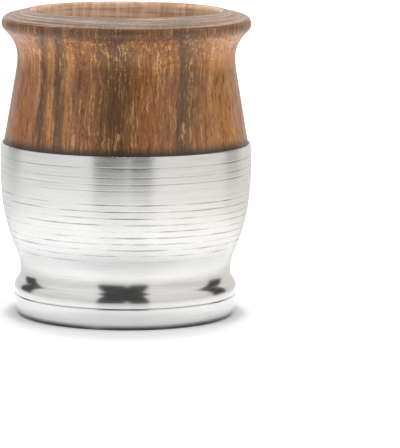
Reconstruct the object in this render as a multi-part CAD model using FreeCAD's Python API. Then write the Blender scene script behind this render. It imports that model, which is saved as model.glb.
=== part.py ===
import FreeCAD, Part

import math
import os

# Mate cup: a turned wooden body whose lower half sits in a spun aluminium sleeve
# with a closed bottom and a drawn-in foot. Lengths are in millimetres. The cup's
# axis is Z, and it stands on the plane z = 0.

AXIS_FOOT = FreeCAD.Vector(0, 0, 0)
AXIS = FreeCAD.Vector(0, 0, 1)
SAME_POINT = 1e-4           # points closer than this are one point

# ---- the cup's height and its rim ----
CUP_HEIGHT = 100.1          # stand plane to the crest of the rim
NOSE_DROP = 4.4             # crest down to the widest part of the rim
NOSE_ROUND = 2.9            # roundness of the rim's outer nose
RIM_FLARE = 5.15            # how far the rim stands out from the neck
MOUTH_ROUND = 1.6           # roundness of the rim's inner edge

# ---- the neck under the rim ----
NECK_RADIUS = 35.65         # narrowest place of the bare wood
NECK_DROP = 15.35           # crest down to the neck
NECK_HOLLOW_ABOVE = 10.8    # hollow sweep from the neck up to the rim
NECK_HOLLOW_BELOW = 26.0    # slower sweep from the neck down to the sleeve

# ---- the bowl inside the wood ----
NECK_WALL = 5.25            # wood left at the mouth, measured at the neck
WAIST_WALL = 6.5            # wood left beside the bowl's floor
BOWL_FLOOR_WOOD = 14.0      # wood under the bowl's floor
BOWL_CORNER_ROUND = 9.0     # round between the bowl's wall and floor

# ---- the aluminium sleeve ----
SHEET = 0.8                 # thickness of the spun sheet
GLUE_GAP = 0.1              # glue line between the sleeve and the wood
LIP_HEIGHT = 56.7           # stand plane to the sleeve's open edge
LIP_EDGE_ROUND = 0.25       # broken edges of the lip
BELLY_RADIUS = 41.2         # widest part of the sleeve
BELLY_HEIGHT = 49.4         # where the sleeve is widest
BELLY_ROUND = 98.0          # slow curve of the belly up to the lip
WAIST_DRAW_IN = 6.7         # how far the waist is drawn in from the belly
WAIST_RISE = 5.75           # the foot's widest place up to the waist
WAIST_HOLLOW_ABOVE = 17.0   # sweep from the waist up into the belly
WAIST_HOLLOW_BELOW = 4.5    # tighter sweep from the waist down onto the foot
FOOT_STEP = 2.05            # how far the foot stands out from the waist
FOOT_HEIGHT = 8.85          # where the foot is widest
FOOT_FLANK_ROUND = 32.0     # slow curve from there down to the bottom
BASE_BEND_INSIDE = 0.3      # inside radius of the bend into the flat bottom
SEAT_MARGIN = 2.0           # the wood's flat seat ends this far inside the bottom's edge
FLANK_BLEND = 0.67          # where, from waist up to belly, the belly's curve tightens

# ---- the scribed line round the foot ----
SCRIBE_HEIGHT = 7.0
SCRIBE_WIDTH = 0.4
SCRIBE_DEPTH = 0.15

# ---- places that follow from the sizes above ----
WAIST_RADIUS = BELLY_RADIUS - WAIST_DRAW_IN
WAIST_HEIGHT = FOOT_HEIGHT + WAIST_RISE
FOOT_RADIUS = WAIST_RADIUS + FOOT_STEP
BASE_ROUND = SHEET + BASE_BEND_INSIDE
RIM_RADIUS = NECK_RADIUS + RIM_FLARE
MOUTH_RADIUS = NECK_RADIUS - NECK_WALL
BOWL_FLOOR = SHEET + BOWL_FLOOR_WOOD
WOOD_INSET = SHEET + GLUE_GAP
BOWL_FOOT_RADIUS = WAIST_RADIUS - WOOD_INSET - WAIST_WALL
NECK_HEIGHT = CUP_HEIGHT - NECK_DROP
NOSE_HEIGHT = CUP_HEIGHT - NOSE_DROP

# An outline is a chain of rounds (radius, height, roundness), walked with the material
# on the left. A round swells out where its roundness is positive, is a hollow where it
# is negative and a plain corner where it is 0. Neighbours touch, or a straight run
# that is tangent to both joins them.


def shared_normal(a, b):
    """Outward direction in which two neighbouring rounds are touched by one run."""
    across, up = b[0] - a[0], b[1] - a[1]
    distance = math.hypot(across, up)
    along = max(-1.0, min(1.0, (a[2] - b[2]) / distance))
    out = math.sqrt(1.0 - along * along)
    return (along * across + out * up) / distance, (along * up - out * across) / distance


def on_round(item, normal):
    """Point of a round whose outward direction is normal."""
    return FreeCAD.Vector(item[0] + item[2] * normal[0], 0, item[1] + item[2] * normal[1])


def arc_through(start, item, first, last):
    """Edge of a round from one outward direction to the next."""
    middle = (first[0] + last[0], first[1] + last[1])
    length = math.hypot(*middle)
    middle = (middle[0] / length, middle[1] / length)
    return Part.Arc(start, on_round(item, middle), on_round(item, last)).toShape()


def turned(rounds):
    """Solid turned about Z from an outline that starts and ends on the axis."""
    normals = [shared_normal(a, b) for a, b in zip(rounds, rounds[1:])]
    start = here = on_round(rounds[0], normals[0])
    edges = []
    for index, normal in enumerate(normals):
        corner = rounds[index + 1]
        reached = on_round(corner, normal)
        if here.distanceToPoint(reached) > SAME_POINT:
            edges.append(Part.LineSegment(here, reached).toShape())
            here = reached
        if index + 1 < len(normals):
            left = on_round(corner, normals[index + 1])
            if here.distanceToPoint(left) > SAME_POINT:
                edges.append(arc_through(here, corner, normal, normals[index + 1]))
                here = left
    edges.append(Part.LineSegment(here, start).toShape())
    return Part.Face(Part.Wire(edges)).revolve(AXIS_FOOT, AXIS, 360)


def swell_to(point, normal, hollow):
    """Roundness of the arc that leaves a point and runs smoothly into a hollow."""
    across, up = point[0] - hollow[0], point[1] - hollow[1]
    depth = -hollow[2]
    facing = across * normal[0] + up * normal[1]
    return (across * across + up * up - depth * depth) / (2.0 * (depth + facing))


def height_on_round(item, height):
    """Radius at which a round crosses a height, on its outer side."""
    return item[0] + math.sqrt(item[2] ** 2 - (height - item[1]) ** 2)


def sleeve_rounds():
    """Rounds of the sleeve's outside, from the bottom's edge up to the belly."""
    flank_centre = FOOT_RADIUS - FOOT_FLANK_ROUND
    base_reach = math.sqrt((FOOT_FLANK_ROUND - BASE_ROUND) ** 2 - (FOOT_HEIGHT - BASE_ROUND) ** 2)
    waist_below = (WAIST_RADIUS + WAIST_HOLLOW_BELOW, WAIST_HEIGHT, -WAIST_HOLLOW_BELOW)
    waist_above = (WAIST_RADIUS + WAIST_HOLLOW_ABOVE, WAIST_HEIGHT, -WAIST_HOLLOW_ABOVE)
    foot_round = swell_to((FOOT_RADIUS, FOOT_HEIGHT), (1.0, 0.0), waist_below)
    belly = (BELLY_RADIUS - BELLY_ROUND, BELLY_HEIGHT, BELLY_ROUND)
    flank_height = WAIST_HEIGHT + FLANK_BLEND * (BELLY_HEIGHT - WAIST_HEIGHT)
    tilt = math.asin((flank_height - BELLY_HEIGHT) / BELLY_ROUND)
    normal = (math.cos(tilt), math.sin(tilt))
    flank = (belly[0] + BELLY_ROUND * normal[0], flank_height)
    flank_round = swell_to(flank, normal, waist_above)
    return [
        (flank_centre + base_reach, BASE_ROUND, BASE_ROUND),
        (flank_centre, FOOT_HEIGHT, FOOT_FLANK_ROUND),
        (FOOT_RADIUS - foot_round, FOOT_HEIGHT, foot_round),
        waist_below,
        waist_above,
        (flank[0] - flank_round * normal[0], flank[1] - flank_round * normal[1], flank_round),
        belly,
    ]


def inset(rounds, depth):
    """The same outline moved into the material by depth."""
    return [(radius, height, roundness - depth) for radius, height, roundness in rounds]


def facing_back(rounds):
    """An outline walked the other way, with the material on its other side."""
    return [(radius, height, -roundness) for radius, height, roundness in reversed(rounds)]


def make_sleeve():
    """Spun shell with a flat bottom, a broken lip edge and a scribed line on the foot."""
    outside = sleeve_rounds()
    inside = inset(outside, SHEET)
    edge_height = LIP_HEIGHT - LIP_EDGE_ROUND
    belly_centre, belly_height, outer_round = outside[-1]
    inner_round = inside[-1][2]
    outer_edge = height_on_round((belly_centre, belly_height, outer_round - LIP_EDGE_ROUND), edge_height)
    inner_edge = height_on_round((belly_centre, belly_height, inner_round + LIP_EDGE_ROUND), edge_height)
    lip = [(outer_edge, edge_height, LIP_EDGE_ROUND), (inner_edge, edge_height, LIP_EDGE_ROUND)]
    shell = turned([(0, 0, 0)] + outside + lip + facing_back(inside) + [(0, SHEET, 0)])
    foot_surface = height_on_round(outside[1], SCRIBE_HEIGHT)
    half = SCRIBE_WIDTH / 2
    overcut = SCRIBE_WIDTH
    bottom = FreeCAD.Vector(foot_surface - SCRIBE_DEPTH, 0, SCRIBE_HEIGHT)
    slope = half / SCRIBE_DEPTH * (SCRIBE_DEPTH + overcut)
    low = FreeCAD.Vector(foot_surface + overcut, 0, SCRIBE_HEIGHT - slope)
    high = FreeCAD.Vector(foot_surface + overcut, 0, SCRIBE_HEIGHT + slope)
    tool = Part.Face(Part.makePolygon([bottom, low, high, bottom])).revolve(AXIS_FOOT, AXIS, 360)
    return shell.cut(tool).Solids[0]


def make_wood():
    """Turned body: its foot fills the sleeve, its bowl is open at the rim."""
    sleeve = sleeve_rounds()
    hidden = inset(sleeve, WOOD_INSET)
    bottom_edge = sleeve[0][0]
    outside = [
        (height_on_round(hidden[-1], LIP_HEIGHT), LIP_HEIGHT, 0),
        (NECK_RADIUS + NECK_HOLLOW_BELOW, NECK_HEIGHT, -NECK_HOLLOW_BELOW),
        (NECK_RADIUS + NECK_HOLLOW_ABOVE, NECK_HEIGHT, -NECK_HOLLOW_ABOVE),
        (RIM_RADIUS - NOSE_ROUND, NOSE_HEIGHT, NOSE_ROUND),
        (MOUTH_RADIUS + MOUTH_ROUND, CUP_HEIGHT - MOUTH_ROUND, MOUTH_ROUND),
    ]
    bowl = [
        (BOWL_FOOT_RADIUS - BOWL_CORNER_ROUND, BOWL_FLOOR + BOWL_CORNER_ROUND, -BOWL_CORNER_ROUND),
        (0, BOWL_FLOOR, 0),
    ]
    seat = [(0, SHEET, 0), (bottom_edge - SEAT_MARGIN, SHEET, 0)]
    return turned(seat + hidden + outside + bowl)


os.makedirs("parts", exist_ok=True)
for name, shape in {"wood_body": make_wood(), "aluminium_sleeve": make_sleeve()}.items():
    box = shape.optimalBoundingBox()
    print(name, shape.isValid(), round(shape.Volume), round(box.XLength, 2), round(box.ZMax, 2))
    shape.exportStep("parts/" + name + ".step")
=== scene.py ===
import math

import bpy
from bpy.props import FloatProperty, FloatVectorProperty, IntProperty, PointerProperty
from mathutils import Matrix, Vector


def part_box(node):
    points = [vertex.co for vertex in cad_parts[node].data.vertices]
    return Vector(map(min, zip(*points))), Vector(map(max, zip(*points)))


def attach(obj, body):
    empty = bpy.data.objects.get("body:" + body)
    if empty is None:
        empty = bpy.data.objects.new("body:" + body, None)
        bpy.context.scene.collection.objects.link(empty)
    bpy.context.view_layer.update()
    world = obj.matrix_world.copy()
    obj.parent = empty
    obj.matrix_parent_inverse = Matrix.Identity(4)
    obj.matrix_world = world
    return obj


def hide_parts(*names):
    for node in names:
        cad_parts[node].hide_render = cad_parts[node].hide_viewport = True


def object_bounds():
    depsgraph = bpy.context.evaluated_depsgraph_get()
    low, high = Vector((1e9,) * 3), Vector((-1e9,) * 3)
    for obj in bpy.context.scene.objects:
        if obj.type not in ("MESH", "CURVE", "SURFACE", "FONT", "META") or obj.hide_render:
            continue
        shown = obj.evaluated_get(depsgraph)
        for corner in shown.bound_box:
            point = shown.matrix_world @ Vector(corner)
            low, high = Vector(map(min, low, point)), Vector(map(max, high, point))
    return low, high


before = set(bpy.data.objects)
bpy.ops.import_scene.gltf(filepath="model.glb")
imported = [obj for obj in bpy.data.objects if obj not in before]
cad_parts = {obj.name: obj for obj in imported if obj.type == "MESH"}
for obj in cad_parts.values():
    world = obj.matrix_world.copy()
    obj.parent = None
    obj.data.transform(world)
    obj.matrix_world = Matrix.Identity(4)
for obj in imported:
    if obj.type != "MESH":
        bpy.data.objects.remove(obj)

bl_info = {
    "name": "Turned Mate Cup",
    "version": (1, 0, 0),
    "blender": (4, 5, 0),
    "location": "3D View > Sidebar > Mate Cup",
    "description": "A turned wooden mate cup in a spun aluminium sleeve, with its studio",
    "category": "Object",
}

MM = 0.001
CAD_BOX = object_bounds()
WOOD_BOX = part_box("wood_body")
SLEEVE_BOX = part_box("aluminium_sleeve")
PANEL_TAB = "Mate Cup"
TINY = 1e-9  # metres; anything shorter is nothing
LONGEST_STEP = 0.2  # most of a round that lies between two rows


# ---- colours and sizes that a user may change ----

def seen(red, green, blue):
    """Linear colour of a surface that looks like this on a 0 to 255 scale."""
    return tuple(
        part / 3294.6 if part <= 10.3 else ((part / 255 + 0.055) / 1.055) ** 2.4
        for part in (red, green, blue)
    )


def number(name, description, default, **settings):
    """A number that isn't below 0."""
    return FloatProperty(name=name, description=description, default=default, min=0.0, **settings)


def length(name, description, millimetres):
    """A length, given in millimetres."""
    settings = {"unit": "LENGTH", "subtype": "DISTANCE", "precision": 5}
    return number(name, description, millimetres * MM, **settings)


def share(name, description, default):
    """A number from 0 to 1."""
    return number(name, description, default, max=1.0, subtype="FACTOR")


def angle(name, description, degrees):
    """An angle, given in degrees."""
    return FloatProperty(
        name=name, description=description, default=math.radians(degrees), subtype="ANGLE",
    )


def colour(name, description, default):
    """A linear colour."""
    return FloatVectorProperty(
        name=name, description=description, default=default, size=3, min=0.0, max=1.0,
        subtype="COLOR",
    )


class WoodSettings(bpy.types.PropertyGroup):
    """Shape and finish of the turned wooden body."""

    height: length("Height", "Stand plane to the crest of the rim", WOOD_BOX[1].z / MM)
    rim_radius: length("Rim radius", "Widest part of the rim", WOOD_BOX[1].x / MM)
    nose_drop: length("Nose drop", "Crest down to the widest part of the rim", 4.4)
    nose_round: length("Nose round", "Roundness of the rim's outer nose", 2.9)
    mouth_round: length("Mouth round", "Roundness of the rim's inner edge", 1.6)
    neck_radius: length("Neck radius", "Narrowest place of the bare wood", 35.65)
    neck_drop: length("Neck drop", "Crest down to the neck", 15.35)
    hollow_above: length("Hollow above", "Sweep from the neck up to the rim", 10.8)
    hollow_below: length("Hollow below", "Sweep from the neck down to the sleeve", 26.0)
    neck_wall: length("Neck wall", "Wood left at the mouth, measured at the neck", 5.25)
    waist_wall: length("Waist wall", "Wood left beside the bowl's floor", 6.5)
    floor_wood: length("Floor wood", "Wood under the bowl's floor", 14.0)
    corner_round: length("Bowl corner", "Round between the bowl's wall and floor", 9.0)
    nose_line: length("Nose line", "Crest down to the line cut round the nose", 3.1)
    line_depth: length("Line depth", "Depth of the line round the nose", 0.1)
    ripple: length("Tool ripple", "Depth of the turning lines on the rim", 0.06)
    dark: colour("Dark wood", "Dark growth bands", seen(86, 57, 34))
    olive: colour("Olive wood", "Grey-green heartwood bands", seen(104, 73, 40))
    brown: colour("Brown wood", "Middle brown", seen(130, 82, 44))
    red: colour("Red wood", "Reddish outer bands", seen(150, 94, 58))
    gold: colour("Gold wood", "Golden bands", seen(158, 104, 55))
    fleck: colour("Flecks", "Bright fibres of the figure", seen(184, 138, 87))
    shade: colour("Shade", "Dark fibres of the figure", seen(72, 46, 28))
    figure: share("Figure", "Contrast of the fine figure", 0.6)
    roughness: share("Roughness", "Roughness of the oiled surface", 0.42)
    segments: IntProperty(name="Segments", description="Facets round the axis", default=240, min=24)


class SleeveSettings(bpy.types.PropertyGroup):
    """Shape and finish of the spun aluminium sleeve."""

    lip_height: length("Lip height", "Stand plane to the open edge", SLEEVE_BOX[1].z / MM)
    belly_radius: length("Belly radius", "Widest part of the sleeve", SLEEVE_BOX[1].x / MM)
    sheet: length("Sheet", "Thickness of the spun sheet", 0.8)
    glue_gap: length("Glue gap", "Glue line between the sleeve and the wood", 0.1)
    edge_round: length("Edge round", "Broken edges of the lip", 0.25)
    belly_height: length("Belly height", "Where the sleeve is widest", 49.4)
    belly_round: length("Belly round", "Slow curve of the belly up to the lip", 98.0)
    waist_draw: length("Waist draw-in", "How far the waist is drawn in", 6.7)
    waist_rise: length("Waist rise", "Foot's widest place up to the waist", 5.75)
    hollow_above: length("Hollow above", "Sweep from the waist into the belly", 17.0)
    hollow_below: length("Hollow below", "Sweep from the waist onto the foot", 4.5)
    foot_step: length("Foot step", "How far the foot stands out", 2.05)
    foot_height: length("Foot height", "Where the foot is widest", 8.85)
    flank_round: length("Foot flank", "Slow curve down to the bottom", 32.0)
    base_bend: length("Base bend", "Inside radius of the bend into the bottom", 0.3)
    seat_margin: length("Seat margin", "The wood's seat ends this far inside", 2.0)
    flank_blend: share("Flank blend", "Where the belly's curve tightens", 0.67)
    scribe_height: length("Scribe height", "Height of the scribed line", 7.0)
    scribe_width: length("Scribe width", "Half width of the scribed line", 0.17)
    scribe_depth: length("Scribe depth", "Depth of the scribed line", 0.14)
    groove_start: length("Groove start", "Lip down to the first turn of the groove", 13.6)
    groove_end: length("Groove end", "Lip down to the last turn of the groove", 37.0)
    groove_pitch: length("Groove pitch", "Distance between turns of the groove", 2.2)
    groove_depth: length("Groove depth", "Depth of the spiral groove", 0.04)
    groove_width: length("Groove width", "Half width of the spiral groove", 0.16)
    ring_depth: length("Ring depth", "Depth of the rings under the lip", 0.05)
    waviness: length("Waviness", "Depth of the spinning tool's marks", 0.016)
    metal: colour("Aluminium", "Colour of the bare metal", seen(236, 236, 235))
    cut_darkening: share("Darkening", "Darkness of the metal in the cut lines", 0.5)
    roughness: share("Roughness", "Roughness of the brushed belly", 0.27)
    polish: share("Foot roughness", "Roughness of the polished foot", 0.18)
    brushing: share("Brushing", "How far the turning marks stretch a highlight", 0.8)
    segments: IntProperty(name="Segments", description="Facets round the axis", default=192, min=24)


class StudioSettings(bpy.types.PropertyGroup):
    """The white tent that the cup stands in."""

    gap_half: angle("Gap half width", "Half width of the tent's opening", 27.0)
    gap_low: angle("Gap foot", "Lowest elevation of the opening", -9.6)
    gap_high: angle("Gap top", "Elevation where the opening closes", 80.0)
    gap_light: share("Gap light", "Light that comes from the opening", 0.06)
    tent_light: number("Tent light", "Light that the metal sees below the horizon", 1.32)
    fill_light: share("Fill light", "Light of the tent on plain surfaces", 0.43)
    roof_light: number("Roof light", "Glare of the lamp above the tent", 4.5)
    floor_colour: colour("Floor", "Colour of the table", (0.87, 0.87, 0.87))
    floor_lift: share("Floor lift", "White added to the floor away from the cup", 0.3)
    floor_reach: length("Floor reach", "Radius of the floor seen in the metal", 80.0)


SETTINGS = {
    "mate_wood": WoodSettings,
    "mate_sleeve": SleeveSettings,
    "mate_studio": StudioSettings,
}


# ---- outlines: chains of rounds (radius, height, roundness) ----
# An outline is walked with the material on its left. A round swells out where its
# roundness is positive, is a hollow where it is negative and a plain corner where it is 0.

def shared_normal(a, b):
    """Outward direction in which two neighbouring rounds are touched by one run."""
    across, up = b[0] - a[0], b[1] - a[1]
    distance = math.hypot(across, up)
    along = max(-1.0, min(1.0, (a[2] - b[2]) / distance))
    out = math.sqrt(1.0 - along * along)
    return (along * across + out * up) / distance, (along * up - out * across) / distance


def swell_to(point, normal, hollow):
    """Roundness of the arc that leaves a point and runs smoothly into a hollow."""
    across, up = point[0] - hollow[0], point[1] - hollow[1]
    depth = -hollow[2]
    facing = across * normal[0] + up * normal[1]
    return (across * across + up * up - depth * depth) / (2.0 * (depth + facing))


def height_on_round(item, height):
    """Radius at which a round crosses a height, on its outer side."""
    return item[0] + math.sqrt(item[2] ** 2 - (height - item[1]) ** 2)


def inset(rounds, depth):
    """The same outline moved into the material by depth."""
    return [(radius, height, roundness - depth) for radius, height, roundness in rounds]


def facing_back(rounds):
    """An outline walked the other way, with the material on its other side."""
    return [(radius, height, -roundness) for radius, height, roundness in reversed(rounds)]


def sleeve_rounds(s):
    """Rounds of the sleeve's outside, from the bottom's edge up to the belly."""
    waist_radius = s.belly_radius - s.waist_draw
    waist_height = s.foot_height + s.waist_rise
    foot_radius = waist_radius + s.foot_step
    base_round = s.sheet + s.base_bend
    flank_centre = foot_radius - s.flank_round
    reach = math.sqrt((s.flank_round - base_round) ** 2 - (s.foot_height - base_round) ** 2)
    waist_below = (waist_radius + s.hollow_below, waist_height, -s.hollow_below)
    waist_above = (waist_radius + s.hollow_above, waist_height, -s.hollow_above)
    foot_round = swell_to((foot_radius, s.foot_height), (1.0, 0.0), waist_below)
    belly = (s.belly_radius - s.belly_round, s.belly_height, s.belly_round)
    flank_height = waist_height + s.flank_blend * (s.belly_height - waist_height)
    tilt = math.asin((flank_height - s.belly_height) / s.belly_round)
    normal = (math.cos(tilt), math.sin(tilt))
    flank = (belly[0] + s.belly_round * normal[0], flank_height)
    flank_round = swell_to(flank, normal, waist_above)
    return [
        (flank_centre + reach, base_round, base_round),
        (flank_centre, s.foot_height, s.flank_round),
        (foot_radius - foot_round, s.foot_height, foot_round),
        waist_below,
        waist_above,
        (flank[0] - flank_round * normal[0], flank[1] - flank_round * normal[1], flank_round),
        belly,
    ]


def sleeve_outline(s):
    """Closed section of the sleeve's sheet, from the axis out, up to the lip and back."""
    outside = sleeve_rounds(s)
    inside = inset(outside, s.sheet)
    edge_height = s.lip_height - s.edge_round
    centre, belly_height, outer_round = outside[-1]
    outer = height_on_round((centre, belly_height, outer_round - s.edge_round), edge_height)
    inner = height_on_round((centre, belly_height, inside[-1][2] + s.edge_round), edge_height)
    lip = [(outer, edge_height, s.edge_round), (inner, edge_height, s.edge_round)]
    return [(0, 0, 0)] + outside + lip + facing_back(inside) + [(0, s.sheet, 0)]


def wood_outline(w, s):
    """Section of the wooden body: seat, hidden foot, neck, rim and bowl."""
    sleeve = sleeve_rounds(s)
    hidden = inset(sleeve, s.sheet + s.glue_gap)
    waist_radius = s.belly_radius - s.waist_draw
    neck_height = w.height - w.neck_drop
    mouth_radius = w.neck_radius - w.neck_wall
    bowl_floor = s.sheet + w.floor_wood
    bowl_foot = waist_radius - s.sheet - s.glue_gap - w.waist_wall
    seat = [(0, s.sheet, 0), (sleeve[0][0] - s.seat_margin, s.sheet, 0)]
    outside = [
        (height_on_round(hidden[-1], s.lip_height), s.lip_height, 0),
        (w.neck_radius + w.hollow_below, neck_height, -w.hollow_below),
        (w.neck_radius + w.hollow_above, neck_height, -w.hollow_above),
        (w.rim_radius - w.nose_round, w.height - w.nose_drop, w.nose_round),
        (mouth_radius + w.mouth_round, w.height - w.mouth_round, w.mouth_round),
    ]
    bowl = [
        (bowl_foot - w.corner_round, bowl_floor + w.corner_round, -w.corner_round),
        (0, bowl_floor, 0),
    ]
    return seat + hidden + outside + bowl


def on_round(item, bearing):
    """Point of a round in an outward bearing, and that bearing's direction."""
    facing = (math.cos(bearing), math.sin(bearing))
    return (item[0] + item[2] * facing[0], item[1] + item[2] * facing[1], *facing)


def sampled(rounds, spacing):
    """Rows along an outline, as close together as spacing(height, facing) asks.

    A row holds its radius, its height and the two parts of its outward direction."""
    bearings = [math.atan2(*reversed(shared_normal(a, b))) for a, b in zip(rounds, rounds[1:])]
    rows = [on_round(rounds[0], bearings[0])]
    for index, bearing in enumerate(bearings):
        corner = rounds[index + 1]
        start, end = rows[-1], on_round(corner, bearing)
        run = math.hypot(end[0] - start[0], end[1] - start[1])
        steps = max(1, math.ceil(run / spacing((start[1] + end[1]) / 2, end[2])))
        if run > TINY:
            for step in range(1, steps + 1):
                part = step / steps
                radius = start[0] + part * (end[0] - start[0])
                height = start[1] + part * (end[1] - start[1])
                rows.append((radius, height, end[2], end[3]))
        if index + 1 < len(bearings) and corner[2] != 0:
            swing = math.remainder(bearings[index + 1] - bearing, math.tau)
            turned = 0.0
            while turned < 1.0:
                _, height, facing, _ = rows[-1]
                step = spacing(height, facing) / max(abs(swing * corner[2]), TINY)
                turned = min(1.0, turned + min(step, LONGEST_STEP))
                rows.append(on_round(corner, bearing + swing * turned))
    return rows


def runs_along(rows):
    """Length walked along an outline up to each of its rows."""
    runs = [0.0]
    for before, after in zip(rows, rows[1:]):
        runs.append(runs[-1] + math.hypot(after[0] - before[0], after[1] - before[1]))
    return runs


def run_at(rows, height):
    """Length walked when the outside of an outline first climbs past a height."""
    for row, run in zip(rows, runs_along(rows)):
        if row[1] >= height and row[2] > 0.0:
            return run
    raise RuntimeError("the outline never climbs to that height")


def new_object(name, data):
    """An object of its own in the scene."""
    item = bpy.data.objects.new(name, data)
    bpy.context.scene.collection.objects.link(item)
    return item


def outline_object(name, rows):
    """Open line of points that carries its facing and its length walked so far."""
    mesh = bpy.data.meshes.new(name)
    points = [(radius, 0.0, height) for radius, height, _, _ in rows]
    mesh.from_pydata(points, [(i, i + 1) for i in range(len(points) - 1)], [])
    mesh.attributes.new("facing", "FLOAT_VECTOR", "POINT")
    mesh.attributes.new("walked", "FLOAT", "POINT")
    facing = [part for row in rows for part in (row[2], 0.0, row[3])]
    mesh.attributes["facing"].data.foreach_set("vector", facing)
    mesh.attributes["walked"].data.foreach_set("value", runs_along(rows))
    return new_object(name, mesh)


# ---- node trees ----

class Net:
    """One node tree, with short ways to add and join its nodes."""

    def __init__(self, tree):
        self.tree = tree

    def add(self, kind, **settings):
        """A new node with some of its settings."""
        node = self.tree.nodes.new(kind)
        for key, value in settings.items():
            setattr(node, key, value)
        return node

    def feed(self, socket, value):
        """Joins a socket to another, or gives it a value."""
        if isinstance(value, bpy.types.NodeSocket):
            self.tree.links.new(value, socket)
        elif socket.type == "RGBA" and len(value) == 3:
            socket.default_value = (*value, 1.0)
        else:
            socket.default_value = value

    def feed_all(self, node, values):
        """Feeds inputs of a node, given by name or number."""
        for key, value in values.items():
            self.feed(node.inputs[key], value)

    def fed(self, kind, values, **settings):
        """First output of a new node with these inputs and settings."""
        node = self.add(kind, **settings)
        self.feed_all(node, values)
        return node.outputs[0]

    def show(self, kind, shader):
        """Makes a shader what a Material or a World looks like."""
        self.feed(self.add("ShaderNodeOutput" + kind).inputs["Surface"], shader)

    def math(self, operation, *values):
        """A number worked out from up to three others."""
        return self.fed("ShaderNodeMath", dict(enumerate(values)), operation=operation)

    def total(self, *values):
        """The sum of several numbers."""
        result = values[0]
        for value in values[1:]:
            result = self.math("ADD", result, value)
        return result

    def minus(self, first, second):
        """One number less another."""
        return self.math("SUBTRACT", first, second)

    def times(self, *values):
        """Several numbers multiplied."""
        result = values[0]
        for value in values[1:]:
            result = self.math("MULTIPLY", result, value)
        return result

    def combine(self, x, y, z):
        """A vector from its three parts."""
        return self.fed("ShaderNodeCombineXYZ", {0: x, 1: y, 2: z})

    def separate(self, vector):
        """The three parts of a vector."""
        node = self.add("ShaderNodeSeparateXYZ")
        self.feed(node.inputs[0], vector)
        return node.outputs

    def from_axis(self, place):
        """Distance of a place from the Z axis."""
        x, y, _ = self.separate(place)
        return self.math("SQRT", self.total(self.times(x, x), self.times(y, y)))

    def noise(self, where, detail=1.0, roughness=0.5):
        """Cloudy values from 0 to 1, about 0.5 on average."""
        return self.fed("ShaderNodeTexNoise", {
            "Vector": where, "Scale": 1.0, "Detail": detail, "Roughness": roughness,
        })

    def grain(self, place, across, along, detail=1.0, roughness=0.5):
        """Noise with these repeats a millimetre across Z and along it."""
        values = {0: place, 1: (across, across, along)}
        where = self.fed("ShaderNodeVectorMath", values, operation="MULTIPLY")
        return self.noise(where, detail, roughness)

    def swing(self, noise, size):
        """A noise that swings about 0, over a range of some size."""
        return self.times(self.minus(noise, 0.5), size)

    def step(self, value, low, high, to_low=0.0, to_high=1.0):
        """A smooth step of a value from one range to another."""
        values = {0: value, 1: low, 2: high, 3: to_low, 4: to_high}
        return self.fed("ShaderNodeMapRange", values, interpolation_type="SMOOTHSTEP")

    def window(self, value, rise, fall):
        """0, then 1 from a rising step up to a falling one, then 0 again."""
        return self.times(self.step(value, *rise), self.step(value, *fall, 1.0, 0.0))

    def hump(self, value, centre, half_width):
        """1 where a value is at centre, fading to nothing on both sides like a bell."""
        ratio = self.math("DIVIDE", self.minus(value, centre), half_width)
        return self.math("EXPONENT", self.times(ratio, ratio, -1.0))

    def blend(self, amount, first, second, kind="MIX"):
        """A colour between two others."""
        node = self.add("ShaderNodeMix", data_type="RGBA", blend_type=kind)
        self.feed_all(node, {"Factor": amount, 6: first, 7: second})
        return node.outputs[2]

    def ramp(self, value, stops):
        """Colours along a scale from 0 to 1."""
        node = self.add("ShaderNodeValToRGB")
        self.feed(node.inputs[0], value)
        band = node.color_ramp
        for place, tone in stops[2:]:
            band.elements.new(place)
        for element, (place, tone) in zip(band.elements, stops):
            element.position = place
            element.color = (*tone, 1.0)
        return node.outputs[0]


SAME_PLACE = 0.001 * MM  # points of a grid closer than this become one


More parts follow.
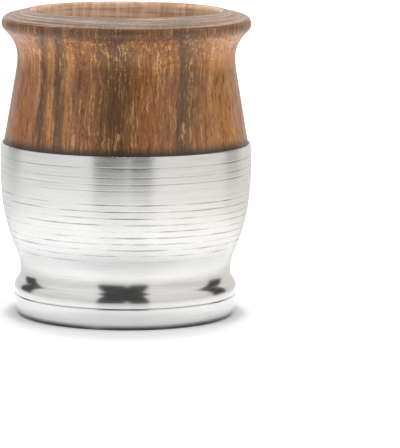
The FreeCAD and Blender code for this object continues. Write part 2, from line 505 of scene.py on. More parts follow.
def shape_tree(name, sizes, relief):
    """Geometry nodes that turn an outline about Z and cut a relief into its surface.

    sizes gives the named inputs and their values; relief(net, inputs, walked, turn)
    returns how far the surface stands out of the outline and how deeply a tool cut it."""
    tree = bpy.data.node_groups.new(name, "GeometryNodeTree")
    tree.interface.new_socket("Outline", in_out="INPUT", socket_type="NodeSocketGeometry")
    tree.interface.new_socket("Turned", in_out="OUTPUT", socket_type="NodeSocketGeometry")
    kinds = {int: "NodeSocketInt", float: "NodeSocketFloat", bpy.types.Material: "NodeSocketMaterial"}
    identifiers = {
        key: tree.interface.new_socket(key, in_out="INPUT", socket_type=kinds[type(value)]).identifier
        for key, value in sizes.items()
    }
    net = Net(tree)
    inputs = net.add("NodeGroupInput").outputs
    outline = inputs["Outline"]
    count = net.add("GeometryNodeAttributeDomainSize", component="MESH")
    net.feed(count.inputs[0], outline)
    rows = count.outputs["Point Count"]
    columns = net.total(inputs["Segments"], 1.0)
    grid = net.fed("GeometryNodeMeshGrid", {"Vertices X": columns, "Vertices Y": rows})
    index = net.add("GeometryNodeInputIndex").outputs[0]
    column = net.math("FLOOR", net.math("DIVIDE", net.total(index, 0.5), rows))
    row = net.minus(index, net.times(column, rows))
    turn = net.math("DIVIDE", column, inputs["Segments"])

    def taken(kind, value):
        """What the outline's point in this row carries."""
        values = {"Geometry": outline, "Value": value, "Index": row}
        return net.fed("GeometryNodeSampleIndex", values, data_type=kind, domain="POINT")

    def carried(kind, key):
        """A named value of the outline's points."""
        return taken(kind, net.fed("GeometryNodeInputNamedAttribute", {"Name": key}, data_type=kind))

    place = net.separate(taken("FLOAT_VECTOR", net.add("GeometryNodeInputPosition").outputs[0]))
    facing = net.separate(carried("FLOAT_VECTOR", "facing"))
    proud, cut = relief(net, inputs, carried("FLOAT", "walked"), turn)
    radius = net.total(place[0], net.times(facing[0], proud))
    height = net.total(place[2], net.times(facing[2], proud))
    bearing = net.times(turn, math.tau)
    moved = net.combine(
        net.times(radius, net.math("COSINE", bearing)),
        net.times(radius, net.math("SINE", bearing)),
        height,
    )
    values = {"Geometry": grid, "Name": "cut", "Value": cut}
    result = net.fed("GeometryNodeStoreNamedAttribute", values, data_type="FLOAT", domain="POINT")
    for kind, values in (
        ("SetPosition", {"Position": moved}),
        ("MergeByDistance", {"Distance": SAME_PLACE}),
        ("SetShadeSmooth", {}),
        ("RealizeInstances", {}),
        ("SetMaterial", {"Material": inputs["Finish"]}),
    ):
        result = net.fed("GeometryNode" + kind, {"Geometry": result, **values})
    net.feed(net.add("NodeGroupOutput").inputs[0], result)
    return tree, identifiers


def run_tree(piece, tree, identifiers, sizes):
    """Runs a shape tree on an outline and keeps its result as a plain mesh."""
    modifier = piece.modifiers.new("Turning", "NODES")
    modifier.node_group = tree
    for key, value in sizes.items():
        modifier[identifiers[key]] = value
    bpy.context.view_layer.update()
    current = bpy.context.evaluated_depsgraph_get()
    mesh = bpy.data.meshes.new_from_object(piece.evaluated_get(current), depsgraph=current)
    piece.modifiers.clear()
    line = piece.data
    piece.data = mesh
    bpy.data.meshes.remove(line)
    if len(mesh.polygons) == 0:
        raise RuntimeError(f"{piece.name} came out empty")
    face_outwards(mesh)


def face_outwards(mesh):
    """Turns a closed mesh's faces outwards, judged by the volume they enclose."""
    mesh.calc_loop_triangles()
    volume = sum(
        mesh.vertices[a].co.dot(mesh.vertices[b].co.cross(mesh.vertices[c].co))
        for a, b, c in (triangle.vertices for triangle in mesh.loop_triangles)
    )
    if volume < 0:
        mesh.flip_normals()


# ---- reliefs ----

# The spiral groove, patchy as the tool bit and skipped.
GROOVE_FADE = (0.0, 0.7)  # turns over which it begins
GROOVE_WANDER = 0.25 * MM  # how far it strays from an even pitch
GROOVE_BITE = (0.38, 0.7, 0.08, 1.5)  # patches, and its depth in them next to the mean
BURR_ASIDE = 1.9  # groove's middle to the burr's, in half widths
BURR_HEIGHT = 0.35  # next to the groove's depth

# Rings under the lip: lip down to the ring, and its depth next to the ring depth.
RINGS = [(3.4 * MM, 1.4), (6.5 * MM, 0.9), (8.7 * MM, 1.0), (10.7 * MM, 0.5)]
RING_WIDTH = 0.13 * MM  # half width
RING_WEAR = (0.35, 0.62)  # patches where a ring is worn away
RING_WORN = 0.1  # what is left of it there

SLEEVE_MARKED = ((0.6 * MM, 1.6 * MM), (48.0 * MM, 51.0 * MM))  # way down from the lip
RIM_MARKED = ((0.0, 1.5 * MM), (15.0 * MM, 18.0 * MM))  # way in over the rim
NOSE_LINE_WIDTH = 0.2 * MM  # half width

# Noises round the axis: size of their circle, repeats a millimetre, detail, roughness.
WANDER = (2.0, 0.2, 3.0, 0.5)
BITE = (3.5, 0.45, 3.0, 0.6)
WEAR = (2.6, 1.0, 2.0, 0.5)
SPINNING_MARKS = (0.35, 0.9, 4.0, 0.62)
TURNING_LINES = (0.25, 1.15, 3.0, 0.65)


def ring_noise(net, turn, along, size, repeats, detail, roughness):
    """Noise along an outline, on a circle of some size so that it closes on itself."""
    bearing = net.times(turn, math.tau)
    where = net.combine(
        net.times(net.math("COSINE", bearing), size),
        net.times(net.math("SINE", bearing), size),
        net.times(along, repeats),
    )
    return net.noise(where, detail, roughness)


def sleeve_relief(net, inputs, walked, turn):
    """Spiral groove, rings under the lip, scribed line and the spinning tool's marks."""
    drop = net.minus(inputs["Lip Run"], walked)
    drop_mm = net.math("DIVIDE", drop, MM)
    pitch, width, end = inputs["Groove Pitch"], inputs["Groove Width"], inputs["Groove End"]
    turns = net.math("DIVIDE", net.minus(drop, inputs["Groove Start"]), pitch)
    near = net.minus(net.math("FRACT", net.total(net.minus(turns, turn), 0.5)), 0.5)
    wander = net.swing(ring_noise(net, turn, drop_mm, *WANDER), GROOVE_WANDER)
    off = net.total(net.times(near, pitch), wander)
    strength = net.times(
        net.step(turns, *GROOVE_FADE),
        net.step(drop, net.minus(end, pitch), end, 1.0, 0.0),
        net.step(ring_noise(net, turn, drop_mm, *BITE), *GROOVE_BITE),
    )
    cut = net.times(net.hump(off, 0.0, width), strength)
    aside = net.times(width, BURR_ASIDE)
    burr = net.times(net.hump(off, aside, width), strength, BURR_HEIGHT)
    level = net.times(net.minus(burr, cut), inputs["Groove Depth"])
    for place, weight in RINGS:
        mottled = ring_noise(net, turn, place / MM, *WEAR)
        left = net.step(mottled, *RING_WEAR, RING_WORN * weight, weight)
        ring = net.times(net.hump(drop, place, RING_WIDTH), left)
        cut = net.total(cut, ring)
        level = net.minus(level, net.times(ring, inputs["Ring Depth"]))
    scribe = net.hump(drop, inputs["Scribe Drop"], inputs["Scribe Width"])
    level = net.minus(level, net.times(scribe, inputs["Scribe Depth"]))
    marks = ring_noise(net, turn, drop_mm, *SPINNING_MARKS)
    marks = net.times(net.window(drop, *SLEEVE_MARKED), marks, inputs["Waviness"])
    return net.minus(level, marks), net.total(cut, scribe)


def wood_relief(net, inputs, walked, turn):
    """Turning lines on the rim and the line cut round its nose."""
    past = net.minus(walked, inputs["Rim Run"])
    line = net.hump(past, inputs["Line Run"], NOSE_LINE_WIDTH)
    lines = ring_noise(net, turn, net.math("DIVIDE", past, MM), *TURNING_LINES)
    lines = net.times(net.window(past, *RIM_MARKED), lines, inputs["Ripple"])
    return net.minus(net.times(line, inputs["Line Depth"], -1.0), lines), line


# ---- materials ----

WHITE = (1.0, 1.0, 1.0)


def new_material(name):
    """An empty node material, its net and its main shader."""
    material = bpy.data.materials.new(name)
    material.use_nodes = True
    material.node_tree.nodes.clear()
    net = Net(material.node_tree)
    return material, net, net.add("ShaderNodeBsdfPrincipled")


def in_millimetres(net):
    """Place on the piece, in millimetres."""
    coordinates = net.add("ShaderNodeTexCoord").outputs["Object"]
    return net.fed("ShaderNodeMapping", {"Vector": coordinates, "Scale": (1 / MM, 1 / MM, 1 / MM)})


def cut_depth(net):
    """How deeply a tool cut the surface, up to 1."""
    cut = net.add("ShaderNodeAttribute", attribute_name="cut").outputs["Fac"]
    return net.math("MINIMUM", cut, 1.0)


def lathe_noise(net, place, along, change, repeats, roughness=0.6):
    """Lines round the axis that change slowly on their way, with repeats a millimetre."""
    x, y, _ = net.separate(place)
    where = net.combine(net.times(x, change), net.times(y, change), net.times(along, repeats))
    return net.noise(where, 3.0, roughness)


# Growth bands across the log, in millimetres from the cup's axis towards +X.
GROWTH_BANDS = [
    (-41, "red"), (-32.5, "red"), (-29.5, "dark"), (-27.5, "brown"), (-25.5, "gold"),
    (-23.5, "dark"), (-21.5, "olive"), (-20, "gold"), (-17, "brown"), (-12, "brown"),
    (-8, "olive"), (-2, "dark"), (1, "olive"), (4, "brown"), (8, "brown"), (12, "brown"),
    (15.5, "brown"), (17, "dark"), (19.5, "olive"), (21.5, "brown"), (26, "gold"),
    (34, "gold"), (41, "red"),
]
BAND_REACH = 42.0

# Growth rings are wide arcs about a far pith, so they bend a little across the cup.
RING_BEND = 0.0035
BEND_ZERO = 1330.0  # square of the depth at which a band is in its own place

# Drift, sway and waves of the fibres: repeats a millimetre across and along the grain,
# detail, and over how many millimetres they carry a fibre.
WARPS = [(0.035, 0.014, 2.0, 4.0), (0.22, 0.11, 2.0, 2.0), (0.55, 0.42, 1.0, 0.9)]
CURL = (1.0, 0.75)
CURL_SIZE = 0.7
FIBRE_DEPTH = 0.4  # fibres are wide flakes from front to back

# Fibres: repeats a millimetre across and along the grain, detail and roughness.
STRIPES = (0.5, 0.012, 2.0, 0.6)
STREAKS = (1.5, 0.03, 2.0, 0.6)
THREADS = (2.0, 0.12)
DASHES = (2.5, 0.6)
CROSSING = (0.5, 1.7)
PORES = (2.6, 0.07)
PORES_OPEN = (0.60, 0.70)
TICKS = (1.4, 0.1)
TICKS_SHOW = (0.4, 0.58, 0.2, 0.8)

# The figure: how much each kind of fibre adds, and where the short ones belong.
LONG_SHARES = [("stripes", 1.7), ("streaks", 2.3), ("threads", 1.2)]
DASH_SHARE = 1.3
CROSS_SHARE = 0.7
HEART = -1.0  # middle of the busy wood across the log
BUSY_FADE = (18.0, 36.0, 1.0, 0.4)  # way from there over which it calms down
RIPPLED_FROM = (76.0, 88.0, 0.3, 1.6)  # height from which the crossing figure is strong
FIGURE_SPREAD = 1.8
FIGURE_STEP = 0.95
FIGURE_MOST = 0.85

# Zones of the wood: heights above the table and radii, in millimetres.
OUTSIDE_FROM = (33.0, 34.0)
BOWL_UP_TO = (31.6, 32.6)
# NECK: heights over which painted light makes the neck paler
NECK = ((80.0, 88.0), (92.5, 94.0))
UNDER_NOSE = ((93.0, 94.4), (96.6, 97.0))
# Heights of painted shade on the wood just above the sleeve's lip
LIP_SHADE_HEIGHTS = (SLEEVE_BOX[1].z / MM + 0.3, SLEEVE_BOX[1].z / MM + 3.4)
# Height from which the rim gets painted sheen
SHEEN_FROM = (96.8, 97.2)
# Raw wood inside the bowl, with painted light growing towards the rim: heights, and how much
RAW_AND_LIT_TOWARDS_RIM = (90.0, 96.5, 0.3, 0.82)
# A thin line of painted shade along the mouth's inner edge: its radius, half width and heights.
MOUTH_EDGE = 31.9
MOUTH_EDGE_WIDTH = 0.35
MOUTH_EDGE_FROM = (99.0, 99.5)

# Painted light: how much paler the neck is made
NECK_PAINTED_LIGHT = (1.47, 1.46, 1.36)
PORE_TONE = seen(62, 42, 24)
TICK_TONE = seen(84, 56, 36)
# Raw wood, paler still as painted light
RAW_AND_LIT_TONE = seen(240, 203, 172)
BORED_TONE = seen(208, 192, 182)
# Painted shade just above the sleeve's lip
LIP_SHADE_TONE = seen(52, 42, 34)
# Painted sheen of the rim
SHEEN_TONE = seen(158, 140, 128)
# Painted shade in the nose's cut line and along the mouth's edge
CUT_SHADE_TONE = seen(72, 48, 34)

# The boring tool's and the rim's lines: change round the axis, repeats a millimetre.
BORED_LINES = (0.04, 0.8)
BORED_SHOW = (0.4, 0.58)
TURNED_LINES = (0.03, 1.5)
ROUGH_RIM = (92.0, 96.0, 0.25, 1.4)  # heights, and how much the lines stand out
ROUGH_REPEATS = 3.2

# Turning lines in the rim's painted sheen: values they step between, how strong, and their colour;
# the pale ones are painted highlights.
RIM_LINES = [(0.5, 0.38, 0.65, seen(92, 66, 50)), (0.52, 0.62, 0.6, seen(204, 186, 174))]


class Log:
    """What the parts of the wood's pattern share: places, zones and fibres."""

    def __init__(self, net):
        self.place = in_millimetres(net)
        x, y, self.z = net.separate(self.place)
        self.radius = net.from_axis(self.place)
        self.outside = net.step(self.radius, *OUTSIDE_FROM)
        self.inside = net.step(self.radius, *BOWL_UP_TO, 1.0, 0.0)
        shift = net.total(*(
            net.swing(net.grain(self.place, across, along, detail), size)
            for across, along, detail, size in WARPS
        ))
        bend = net.times(net.minus(net.times(y, y), BEND_ZERO), RING_BEND)
        self.across = net.total(x, bend, shift)
        lean = net.total(shift, net.swing(net.grain(self.place, *CURL), CURL_SIZE))
        deep = net.times(net.total(y, lean), FIBRE_DEPTH)
        fibre = net.combine(net.total(x, lean), deep, self.z)
        self.stripes = net.grain(fibre, *STRIPES)
        self.streaks = net.grain(fibre, *STREAKS)
        self.threads = net.grain(fibre, *THREADS)
        self.dashes = net.grain(fibre, *DASHES)
        self.pores = net.step(net.grain(fibre, *PORES), *PORES_OPEN)


def figured(net, w, log):
    """Growth bands, long fibres and, in the middle of the log, short curly dashes."""
    scale = net.total(net.math("DIVIDE", log.across, 2 * BAND_REACH), 0.5)
    stops = [((at + BAND_REACH) / (2 * BAND_REACH), getattr(w, tone)) for at, tone in GROWTH_BANDS]
    wood = net.ramp(scale, stops)
    busy = net.step(net.math("ABSOLUTE", net.minus(log.across, HEART)), *BUSY_FADE)
    crossing = net.swing(net.grain(log.place, *CROSSING), CROSS_SHARE)
    figure = net.total(
        *(net.swing(getattr(log, kind), size) for kind, size in LONG_SHARES),
        net.times(net.swing(log.dashes, DASH_SHARE), busy),
        net.times(crossing, busy, net.step(log.z, *RIPPLED_FROM)),
    )
    figure = net.times(figure, w.figure, FIGURE_SPREAD)
    for step, tone in ((FIGURE_STEP, w.fleck), (-FIGURE_STEP, w.shade)):
        wood = net.blend(net.step(figure, 0.0, step, 0.0, FIGURE_MOST), wood, tone)
    return wood


def neck_and_nose(net, log, wood):
    """Painted light that makes the neck paler under the rim's shade, and short dark ticks of cut
    fibres where the nose turns under.
    """
    # Painted light on the neck, where the rim shades it.
    neck = net.times(net.window(log.z, *NECK), log.outside)
    wood = net.blend(neck, wood, net.blend(1.0, wood, NECK_PAINTED_LIGHT, "MULTIPLY"))
    under = net.times(net.window(log.z, *UNDER_NOSE), log.outside)
    ticks = net.step(net.grain(log.place, *TICKS), *TICKS_SHOW)
    return net.blend(net.times(under, ticks), wood, TICK_TONE)


def bowl_wall(net, log, wood):
    """Pale raw wood with the boring tool's lines, on the bowl's side only; painted light makes it
    paler towards the rim.
    """
    raw = net.blend(net.step(log.z, *RAW_AND_LIT_TOWARDS_RIM), wood, RAW_AND_LIT_TONE)
    bored = lathe_noise(net, log.place, log.z, *BORED_LINES)
    lines = net.total(
        net.times(log.streaks, 0.25), net.times(log.stripes, 0.3), net.times(bored, 0.45))
    lines = net.blend(net.step(lines, *BORED_SHOW), BORED_TONE, WHITE)
    return net.blend(log.inside, wood, net.blend(1.0, raw, lines, "MULTIPLY"))


def sheen_rim(net, log, wood):
    """Painted sheen on the rim, greyish with turning lines, down to its cut line; painted shade in
    that line and along the mouth's edge.
    """
    # Painted sheen: the rim's top is greyed where it would gleam.
    sheen = net.times(net.step(log.z, *SHEEN_FROM), net.minus(1.0, log.inside))
    wood = net.blend(net.times(sheen, 0.45), wood, SHEEN_TONE)
    lines = lathe_noise(net, log.place, net.minus(log.radius, log.z), *TURNED_LINES)
    for low, high, strength, tone in RIM_LINES:
        shown = net.times(sheen, net.step(lines, low, high, 0.0, strength))
        wood = net.blend(shown, wood, tone)
    # Painted shade: a dark line along the mouth's inner edge, and in the cut line round the nose.
    edge = net.times(
        net.hump(log.radius, MOUTH_EDGE, MOUTH_EDGE_WIDTH), net.step(log.z, *MOUTH_EDGE_FROM))
    line = net.math("MAXIMUM", cut_depth(net), edge)
    return net.blend(net.times(line, 0.7), wood, CUT_SHADE_TONE)


def wood_material(w):
    """Oiled hardwood with upright growth bands, wavy figure and open pores."""
    material, net, shader = new_material("Turned hardwood")
    log = Log(net)
    wood = figured(net, w, log)
    wood = net.blend(net.times(log.pores, 0.4), wood, PORE_TONE)
    wood = neck_and_nose(net, log, wood)
    wood = bowl_wall(net, log, wood)
    # Painted shade on the wood just above the sleeve's lip.
    lip_shade = net.times(net.step(log.z, *LIP_SHADE_HEIGHTS, 0.9, 0.0), log.outside)
    wood = sheen_rim(net, log, net.blend(lip_shade, wood, LIP_SHADE_TONE))
    gloss = net.total(
        w.roughness,
        net.swing(log.streaks, -0.25),
        net.times(log.pores, 0.2),
        net.times(log.inside, 0.18),
    )
    out, up = net.times(log.radius, ROUGH_REPEATS), net.times(log.z, ROUGH_REPEATS)
    turning = net.noise(net.combine(out, up, 0.0), 2.0, 0.6)
    height = net.total(
        net.times(log.pores, -0.6),
        net.times(log.dashes, 0.35),
        net.times(turning, net.step(log.z, *ROUGH_RIM)),
    )
    bump = {"Strength": 0.35, "Distance": 0.06 * MM, "Height": height}
    net.feed_all(shader, {
        "Base Color": wood,
        "Roughness": gloss,
        "Specular IOR Level": 0.35,
        "Coat Weight": 0.3,
        "Coat Roughness": 0.2,
        "Normal": net.fed("ShaderNodeBump", bump),
    })
    net.show("Material", shader.outputs[0])
    return material


# Zones of the metal: heights above the table, in millimetres.
# Painted contact shadow: the heights over which the sleeve darkens at its very bottom, where it meets
# the table
CONTACT_SHADE_HEIGHTS = (0.5, 2.2, 0.9, 0.0)
POLISHED_TO = (16.0, 22.0)
# Painted reflection: a darker band low on the belly, where the metal mirrors the shaded table near
# the cup
WAIST_AT = 20.5
WAIST_WIDTH = 3.6
WAIST_REFLECTED_SHADE = 0.25

# Lines round the metal: change round the axis, repeats a millimetre, roughness.
FINE_LINES = (0.05, 9.0, 0.7)
BROAD_LINES = (0.05, 1.1, 0.6)
LINES_SHOW = (0.3, 0.62)
LINES_LEAN = 0.6  # how much of the way out counts beside the height
CLOUDS = (0.06, 0.12, 3.0)
# How the clouds break up the painted contact shadow
CONTACT_SHADE_CLOUDS = (0.2, 0.5, 0.7, 1.0)

DULL_TINT = (0.86, 0.865, 0.87)
CUT_LINE_TONE = seen(70, 70, 72)
# Painted contact shadow at the bottom
CONTACT_SHADE_TONE = seen(58, 58, 56)
# Painted reflection of the shaded table
WAIST_REFLECTED_SHADE_TONE = seen(190, 190, 190)


def aluminium_material(s):
    """Bare spun aluminium, brushed round its axis, with a polished foot."""
    material, net, shader = new_material("Spun aluminium")
    place = in_millimetres(net)
    z = net.separate(place)[2]
    along = net.total(z, net.times(net.from_axis(place), LINES_LEAN))
    fine = lathe_noise(net, place, along, *FINE_LINES)
    broad = lathe_noise(net, place, along, *BROAD_LINES)
    clouds = net.grain(place, *CLOUDS)
    lines = net.total(net.times(fine, 0.6), net.times(broad, 0.4))
    dull = net.blend(1.0, s.metal, DULL_TINT, "MULTIPLY")
    metal = net.blend(net.step(lines, *LINES_SHOW), dull, s.metal)
    # Darker in the cut lines.
    metal = net.blend(net.times(cut_depth(net), s.cut_darkening), metal, CUT_LINE_TONE)
    # Painted contact shadow: the bottom couple of millimetres are darkened, broken up by clouds,
    # where the sleeve stands on the table.
    mottled = net.times(net.step(z, *CONTACT_SHADE_HEIGHTS), net.step(clouds, *CONTACT_SHADE_CLOUDS))
    metal = net.blend(mottled, metal, CONTACT_SHADE_TONE)
    # Painted reflection of the shaded table, as a darker band low on the belly.
    waist = net.times(net.hump(z, WAIST_AT, WAIST_WIDTH), WAIST_REFLECTED_SHADE)
    metal = net.blend(waist, metal, WAIST_REFLECTED_SHADE_TONE)
    rough = net.total(
        net.step(z, *POLISHED_TO, s.polish, s.roughness),
        net.swing(broad, 0.16),
        net.swing(clouds, 0.1),
    )
    bump = {"Strength": 0.3, "Distance": 0.012 * MM, "Height": fine}
    net.feed_all(shader, {
        "Base Color": metal,
        "Metallic": 1.0,
        "Roughness": rough,
        "Anisotropic": s.brushing,
        "Anisotropic Rotation": 0.25,
        "Tangent": net.fed("ShaderNodeTangent", {}, direction_type="RADIAL", axis="Z"),
        "Normal": net.fed("ShaderNodeBump", bump),
    })
    net.show("Material", shader.outputs[0])
    return material


# ---- pieces ----

# Settings of the sleeve that its relief takes as they are.
SLEEVE_CUTS = (
    "Groove Start", "Groove End", "Groove Pitch", "Groove Depth", "Groove Width",
    "Ring Depth", "Scribe Width", "Scribe Depth", "Waviness",
)

# Distances between the rows of a piece's grid.
EDGE_ROWS = 0.06 * MM
BELLY_ROWS = 0.115 * MM
RIM_ROWS = 0.13 * MM
FOOT_ROWS = 0.2 * MM
PLAIN_ROWS = 0.4 * MM
BOWL_ROWS = 1.0 * MM
HIDDEN_ROWS = 2.5 * MM

BELLY_ABOVE_WAIST = 5.0 * MM  # waist up to where the belly's rows start
RIM_BELOW_CREST = 8.5 * MM  # crest down to where the rim's rows start
WOOD_BELOW_LIP = 1.0 * MM  # lip down to where the wood is hidden
LINE_REACH = 0.5 * MM  # scribed line's middle to the end of its fine rows
FOOT_REACH = 1.0 * MM  # foot's widest place up to the end of its rows


def make_piece(name, rows, sizes, relief, node):
    """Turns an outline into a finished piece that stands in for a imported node."""
    piece = outline_object(name, rows)
    tree, identifiers = shape_tree(name, sizes, relief)
    run_tree(piece, tree, identifiers, sizes)
    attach(piece, "root")
    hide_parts(node)


class MATE_OT_sleeve(bpy.types.Operator):
    """Makes the spun aluminium sleeve with its spiral groove"""

    bl_idname = "mate.sleeve"
    bl_label = "Aluminium sleeve"

    def execute(self, context):
        s = context.scene.mate_sleeve
        belly_from = s.foot_height + s.waist_rise + BELLY_ABOVE_WAIST

        def spacing(height, facing):
            if facing <= 0.2:
                return HIDDEN_ROWS
            if abs(height - s.scribe_height) < LINE_REACH or height > s.lip_height - 2 * s.edge_round:
                return EDGE_ROWS
            if s.scribe_height < height < s.foot_height + FOOT_REACH:
                return FOOT_ROWS
            return BELLY_ROWS if height > belly_from else PLAIN_ROWS

        rows = sampled(sleeve_outline(s), spacing)
        lip_run = run_at(rows, s.lip_height - s.edge_round)
        sizes = {
            "Segments": s.segments,
            "Finish": aluminium_material(s),
            "Lip Run": lip_run,
            "Scribe Drop": lip_run - run_at(rows, s.scribe_height),
            **{key: getattr(s, key.lower().replace(" ", "_")) for key in SLEEVE_CUTS},
        }
        make_piece("sleeve_spun", rows, sizes, sleeve_relief, "aluminium_sleeve")
        return {"FINISHED"}


class MATE_OT_wood(bpy.types.Operator):
    """Makes the turned wooden body with its flared rim and open bowl"""

    bl_idname = "mate.wood"
    bl_label = "Wooden body"

    def execute(self, context):
        w = context.scene.mate_wood
        s = context.scene.mate_sleeve
        rim_from = w.height - RIM_BELOW_CREST

        def spacing(height, facing):
            if height > rim_from:
                return RIM_ROWS
            if facing <= 0.0:
                return BOWL_ROWS
            return PLAIN_ROWS if height > s.lip_height - WOOD_BELOW_LIP else HIDDEN_ROWS

        rows = sampled(wood_outline(w, s), spacing)
        rim_run = run_at(rows, rim_from)
        sizes = {
            "Segments": w.segments,
            "Finish": wood_material(w),
            "Rim Run": rim_run,
            "Line Run": run_at(rows, w.height - w.nose_line) - rim_run,
            "Line Depth": w.line_depth,
            "Ripple": w.ripple,
        }
        make_piece("body_turned", rows, sizes, wood_relief, "wood_body")
        return {"FINISHED"}


# ---- the studio ----

# The light tent in degrees: bearings from the viewer's side towards +X, and elevations.
GAP_BEARING = -2.5
GAP_WIDENS = (48.7, 69.9)
GAP_WIDER = 1.9  # width of the opening's top next to its foot
SOFT_SIDE = 2.5
SOFT_FOOT = 1.75
SOFT_TOP = 1.25
SLIT = (2.0, 2.6)  # bearing and half width of a bright slit in the opening
SLIT_RISE = ((-7.8, -6.5), (4.0, 12.0))
SLIT_LIGHT = 0.85
SPOT = (-4.0, 8.0)  # bearing and half width of a bright spot at its foot
SPOT_RISE = (-7.6, 1.3)
SPOT_LIGHT = 0.6
SEAMS = (-126.0, 115.5)  # dark seams behind, at both sides
SEAM_SIDE = (8.0, 17.0, 0.95, 0.0)
SEAM_RISE = ((-6.0, 1.0), (64.0, 76.0))
WALL_RISE = (-24.0, -9.0)
WALL_LIGHT = 0.76
ROOF_RISE = (8.0, 35.0, 0.0, 0.12)
LAMP_RISE = (80.0, 84.0)
COOL = (1.0, 1.0, 0.99)
WARM = (1.0, 0.965, 0.92)
WARM_SIDE = (-34.4, 80.2)
HORIZON = (0.8, 0.8, 0.8)  # what a viewer sees past the table's edge

LAMPS = [
    ("Left lamp", (-0.9, -0.6, 0.45), 0.8, 4.2),
    ("Right lamp", (0.9, -0.5, 0.45), 0.8, 4.8),
    ("Top lamp", (0.0, -0.05, 1.3), 0.9, 9.0),
]

# The table: ways out in millimetres over which it is lifted towards white; closer in it stays darker,
# a painted shadow round the cup.
TABLE_NEAR = (37.0, 42.0)
TABLE_BEHIND = (24.0, 40.0)  # the same, with the light from behind
TABLE_FAR = (120.0, 400.0)
BEHIND_LEAN = 0.45
FAR_LIFT = 0.6
TABLE_RADIUS = 3.0  # metres
TABLE_SIDES = 96

VIEWER = (0.0, -1.09779, 0.19231)
VIEW_YAW = 0.0223
VIEW_PITCH = 0.1473
VIEW_ROLL = 0.0077
LENS = 270.8
SENSOR = 36.0


def tent_opening(net, studio, azimuth, rise):
    """How much of the dark opening and the seams lies in a direction, from 0 to 1."""
    low = math.degrees(studio.gap_low)
    high = math.degrees(studio.gap_high)
    narrow = math.degrees(studio.gap_half)
    half = net.step(rise, *GAP_WIDENS, narrow, GAP_WIDER * narrow)
    side = net.minus(net.math("ABSOLUTE", net.minus(azimuth, GAP_BEARING)), half)
    gap = net.times(
        net.step(side, -SOFT_SIDE, SOFT_SIDE, 1.0, 0.0),
        net.window(rise, (low - SOFT_FOOT, low + SOFT_FOOT), (high - SOFT_TOP, high + SOFT_TOP)),
    )
    slit = net.times(net.hump(azimuth, *SLIT), net.window(rise, *SLIT_RISE), SLIT_LIGHT)
    spot = net.times(net.hump(azimuth, *SPOT), net.hump(rise, *SPOT_RISE), SPOT_LIGHT)
    gap = net.times(gap, net.minus(1.0, net.math("MAXIMUM", slit, spot)))
    for bearing in SEAMS:
        aside = net.math("ABSOLUTE", net.minus(azimuth, bearing))
        seam = net.times(net.step(aside, *SEAM_SIDE), net.window(rise, *SEAM_RISE))
        gap = net.math("MAXIMUM", gap, seam)
    return gap


def sky_light(studio):
    """White tent with a dark opening; plain surfaces see an even light."""
    world = bpy.data.worlds.new("Light tent")
    bpy.context.scene.world = world
    world.use_nodes = True
    world.node_tree.nodes.clear()
    net = Net(world.node_tree)
    toward = net.add("ShaderNodeTexCoord").outputs["Generated"]
    x, y, z = net.separate(net.fed("ShaderNodeVectorMath", {0: toward}, operation="NORMALIZE"))
    rise = net.math("DEGREES", net.math("ARCSINE", z))
    azimuth = net.math("DEGREES", net.math("ARCTAN2", x, net.times(y, -1.0)))
    gap = tent_opening(net, studio, azimuth, rise)
    wall = net.step(rise, *WALL_RISE, studio.tent_light, WALL_LIGHT)
    tent = net.total(wall, net.step(rise, *ROOF_RISE))
    lamp = net.step(rise, *LAMP_RISE, 0.0, studio.roof_light)
    level = net.total(net.step(gap, 0.0, 1.0, tent, studio.gap_light), lamp)
    tone = net.blend(net.step(azimuth, *WARM_SIDE), COOL, WARM)
    glossy = net.fed("ShaderNodeBackground", {"Color": tone, "Strength": level})
    plain = net.fed("ShaderNodeBackground", {"Color": WHITE, "Strength": studio.fill_light})
    horizon = net.fed("ShaderNodeBackground", {"Color": HORIZON, "Strength": 1.0})
    path = net.add("ShaderNodeLightPath").outputs
    clear = net.math("MAXIMUM", path["Is Glossy Ray"], path["Is Transmission Ray"])
    light = net.fed("ShaderNodeMixShader", {0: clear, 1: plain, 2: glossy})
    shown = net.fed("ShaderNodeMixShader", {0: path["Is Camera Ray"], 1: light, 2: horizon})
    net.show("World", shown)


def floor_material(studio):
    """White table top; past its near part the metal sees the tent instead."""
    material, net, shader = new_material("White table")
    path = net.add("ShaderNodeLightPath").outputs
    place = in_millimetres(net)
    away = net.from_axis(place)
    # Painted shadow: near the cup the floor gets no white lift, and in front of the cup the lift
    # starts later, as if light came from behind.
    behind = net.total(away, net.times(net.separate(place)[1], BEHIND_LEAN))
    near = net.times(
        net.step(away, *TABLE_NEAR), net.step(behind, *TABLE_BEHIND, 0.0, studio.floor_lift))
    far = net.step(away, *TABLE_FAR, 0.0, FAR_LIFT)
    shown = net.math("MAXIMUM", path["Is Camera Ray"], path["Is Glossy Ray"])
    net.feed_all(shader, {
        "Base Color": studio.floor_colour,
        "Roughness": 0.9,
        "Specular IOR Level": 0.0,
        "Emission Color": WHITE,
        "Emission Strength": net.times(shown, net.total(near, far)),
    })
    reach = studio.floor_reach / MM
    clear = net.times(
        net.step(away, 0.9 * reach, 1.1 * reach),
        net.math("MAXIMUM", path["Is Glossy Ray"], path["Is Transmission Ray"]),
    )
    through = net.fed("ShaderNodeBsdfTransparent", {})
    values = {0: clear, 1: shader.outputs[0], 2: through}
    net.show("Material", net.fed("ShaderNodeMixShader", values))
    return material


def floor_disc(studio):
    """Round table top under the cup."""
    mesh = bpy.data.meshes.new("table")
    bearings = [math.tau * side / TABLE_SIDES for side in range(TABLE_SIDES)]
    rim = [(TABLE_RADIUS * math.cos(turn), TABLE_RADIUS * math.sin(turn), 0.0) for turn in bearings]
    mesh.from_pydata(rim, [], [tuple(range(TABLE_SIDES))])
    mesh.materials.append(floor_material(studio))
    new_object("table", mesh)


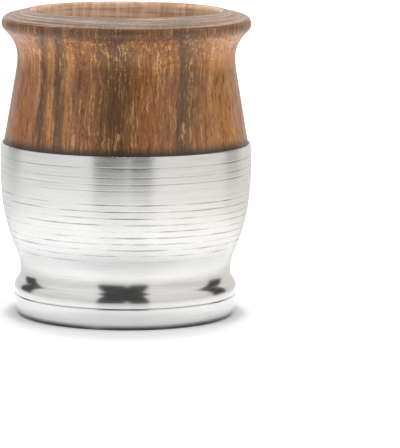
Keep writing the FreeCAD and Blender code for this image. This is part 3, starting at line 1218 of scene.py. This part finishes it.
def soft_lamp(name, place, size, power):
    """Square lamp that shines at the middle of the cup and doesn't show in its gloss."""
    data = bpy.data.lights.new(name, "AREA")
    data.shape = "SQUARE"
    data.size = size
    data.energy = power
    lamp = new_object(name, data)
    lamp.location = place
    aim = Vector((0.0, 0.0, CAD_BOX[1].z / 2)) - Vector(place)
    lamp.rotation_euler = aim.to_track_quat("-Z", "Y").to_euler()
    lamp.visible_glossy = False


def camera():
    """Long lens, a little above the rim and slightly turned."""
    level_way = math.cos(VIEW_PITCH)
    forward = Vector((
        math.sin(VIEW_YAW) * level_way, math.cos(VIEW_YAW) * level_way, -math.sin(VIEW_PITCH)))
    level = forward.cross(Vector((0.0, 0.0, 1.0))).normalized()
    upright = level.cross(forward)
    right = math.cos(VIEW_ROLL) * level + math.sin(VIEW_ROLL) * upright
    up = -math.sin(VIEW_ROLL) * level + math.cos(VIEW_ROLL) * upright
    data = bpy.data.cameras.new("Camera")
    data.sensor_width = SENSOR
    data.lens = LENS
    data.clip_start = 0.05
    data.clip_end = 20.0
    turned = Matrix((right, up, -forward)).transposed().to_4x4()
    viewer = new_object("Camera", data)
    viewer.matrix_world = Matrix.Translation(VIEWER) @ turned
    bpy.context.scene.camera = viewer


class MATE_OT_stage(bpy.types.Operator):
    """Makes the table, the light tent, the lamps and the camera"""

    bl_idname = "mate.stage"
    bl_label = "Studio"

    def execute(self, context):
        studio = context.scene.mate_studio
        context.scene.view_settings.view_transform = "Standard"
        sky_light(studio)
        floor_disc(studio)
        for name, place, size, power in LAMPS:
            soft_lamp(name, place, size, power)
        camera()
        return {"FINISHED"}


class MATE_PT_panel(bpy.types.Panel):
    """Sizes, colours and buttons of the mate cup"""

    bl_idname = "MATE_PT_panel"
    bl_label = "Mate Cup"
    bl_space_type = "VIEW_3D"
    bl_region_type = "UI"
    bl_category = PANEL_TAB

    def draw(self, context):
        for operator, key in zip(OPERATORS, ("mate_sleeve", "mate_wood", "mate_studio")):
            box = self.layout.box()
            box.operator(operator.bl_idname)
            group = getattr(context.scene, key)
            for name in type(group).__annotations__:
                box.prop(group, name)


OPERATORS = (MATE_OT_sleeve, MATE_OT_wood, MATE_OT_stage)
CLASSES = (*SETTINGS.values(), *OPERATORS, MATE_PT_panel)


def register():
    """Makes the operators, the panel and the settings known."""
    for item in CLASSES:
        bpy.utils.register_class(item)
    for key, group in SETTINGS.items():
        setattr(bpy.types.Scene, key, PointerProperty(type=group))


def unregister():
    """Takes them away again."""
    for key in SETTINGS:
        delattr(bpy.types.Scene, key)
    for item in reversed(CLASSES):
        bpy.utils.unregister_class(item)


def main():
    """Builds everything in order."""
    register()
    bpy.ops.mate.sleeve()
    bpy.ops.mate.wood()
    bpy.ops.mate.stage()


if __name__ == "__main__":
    main()
